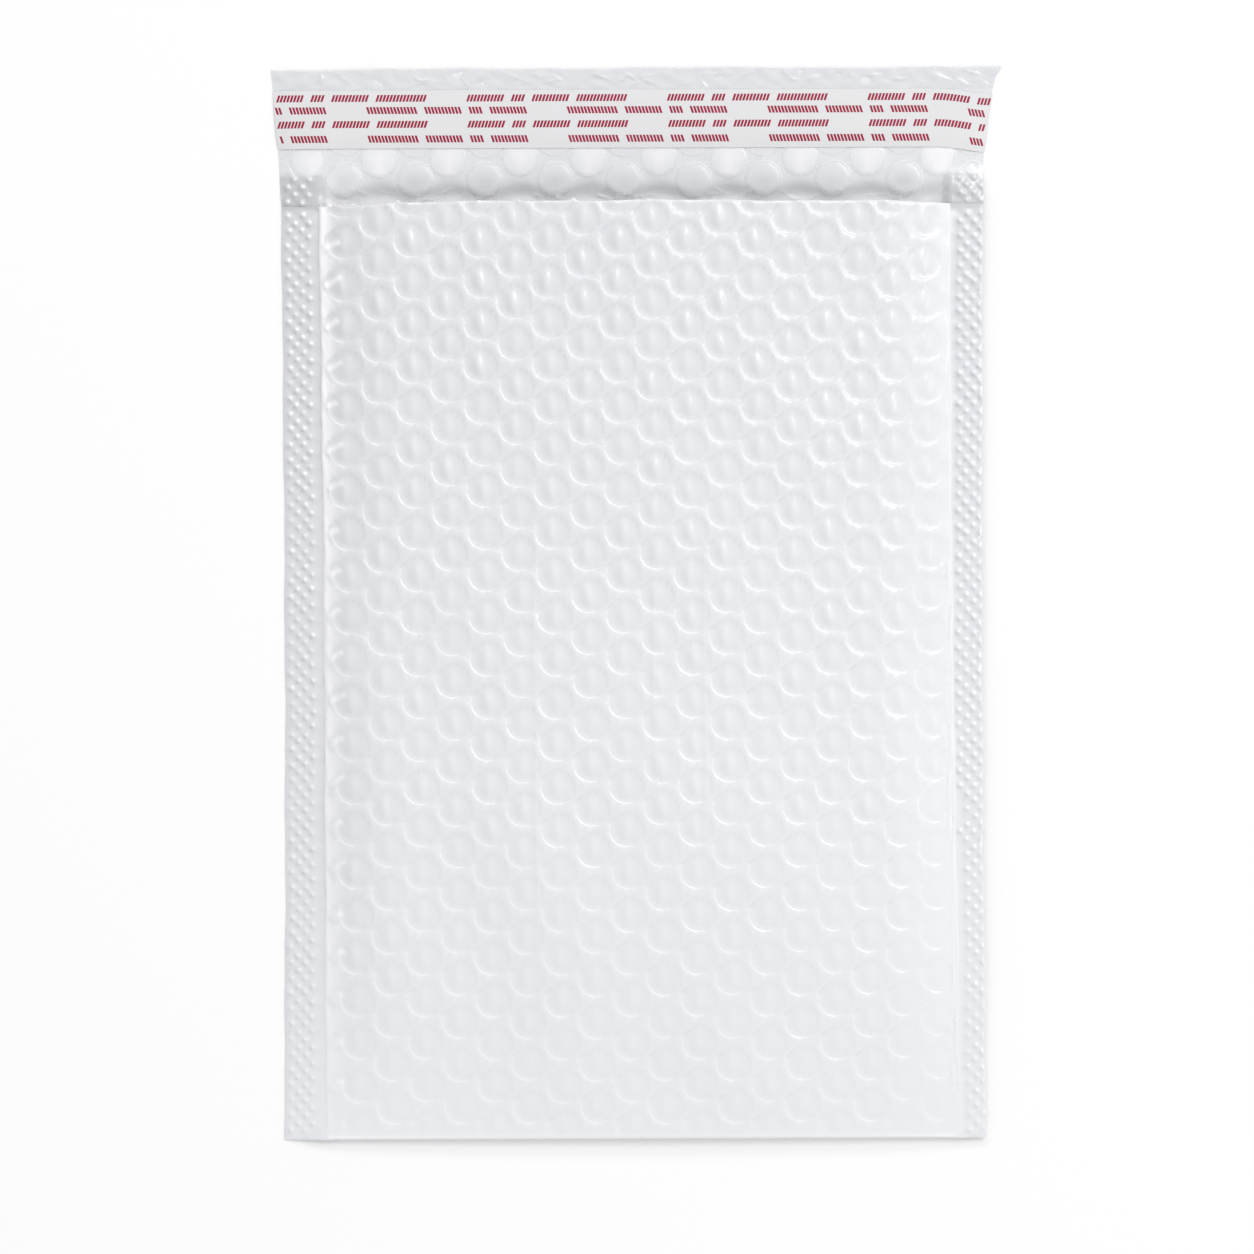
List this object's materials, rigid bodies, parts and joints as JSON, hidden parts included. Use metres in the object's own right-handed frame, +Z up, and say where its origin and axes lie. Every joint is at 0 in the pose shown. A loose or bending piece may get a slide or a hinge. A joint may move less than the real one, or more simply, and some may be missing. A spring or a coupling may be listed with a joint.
{
  "type": "padded envelope",
  "caption": "Flat padded mailing envelope of white film over a bubble lining, welded along both sides, with an open flap that carries an adhesive strip under a peel-off liner",
  "frame": {"origin": "middle of the bounding box on the table, under the envelope as it lies on its back", "axes": "+X to the right across the envelope, +Y from the bottom fold to the flap, +Z up out of the front panel"},
  "size_m": [0.2074, 0.3056, 0.0131],
  "materials": {
    "outer_film": "white blown polyethylene film, satin",
    "bubble_lining": "clear bubble film over the white film",
    "adhesive_strip": "clear to cream hot-melt adhesive",
    "release_liner": "white release film, printed in crimson"
  },
  "bodies": {
    "root": {"outer_film": "outer_film", "bubble_lining": "bubble_lining", "adhesive_strip": "adhesive_strip", "release_liner": "release_liner"}
  },
  "joints": []
}
